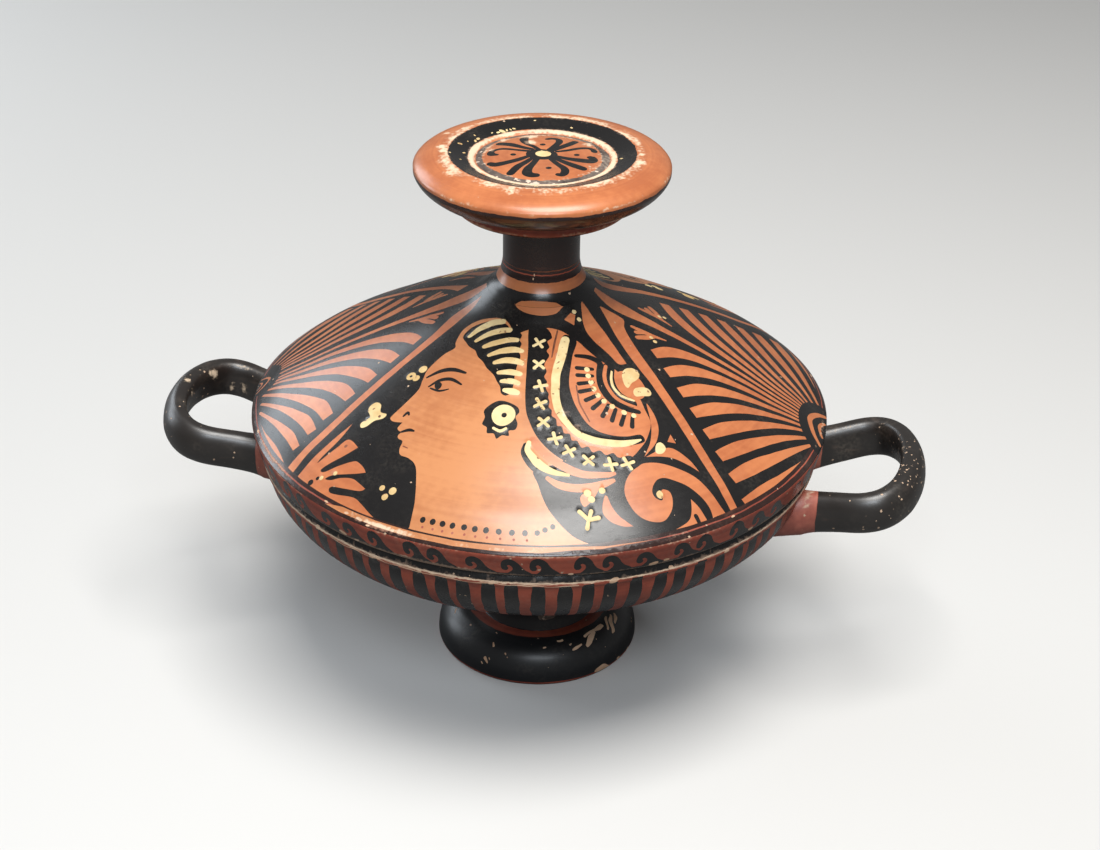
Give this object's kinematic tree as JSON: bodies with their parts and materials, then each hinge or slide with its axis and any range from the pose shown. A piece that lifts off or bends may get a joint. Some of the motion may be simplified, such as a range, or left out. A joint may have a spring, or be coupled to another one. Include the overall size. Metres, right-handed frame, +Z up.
{
  "type": "lekanis",
  "caption": "Lidded footed dish with two looped strap handles and a broad disc knob, in painted fired clay; the lid lifts off.",
  "frame": {"origin": "middle of the foot's resting ring, on the table", "axes": "+Z up through the foot and the knob, +X along the line of the two handles towards handle_right, +Y to the back"},
  "size_m": [0.2574, 0.19, 0.1802],
  "materials": {
    "foot_gloss": "black slip gloss, flaked to buff clay in patches, with a reserved red ring",
    "bowl_paint": "brick-red clay with upright black tongues and a chipped lip",
    "handle_gloss": "black slip gloss with small flakes, bare red clay at the roots",
    "lid_paint": "orange clay with black gloss ground, added white and fine black lines",
    "stem_gloss": "black slip gloss with a reserved red band at the root",
    "knob_paint": "orange clay with a black ring, a worn cream crest and a black palmette cross"
  },
  "bodies": {
    "vessel": {"foot": "foot_gloss", "bowl": "bowl_paint", "handle_left": "handle_gloss", "handle_right": "handle_gloss"},
    "lid": {"lid_dome": "lid_paint", "knob_stem": "stem_gloss", "knob_disc": "knob_paint"}
  },
  "joints": [
    {"name": "lid_lift", "type": "slide", "parent": "vessel", "child": "lid", "axis": [0, 0, 1], "range_m": [0, 0.1]}
  ]
}
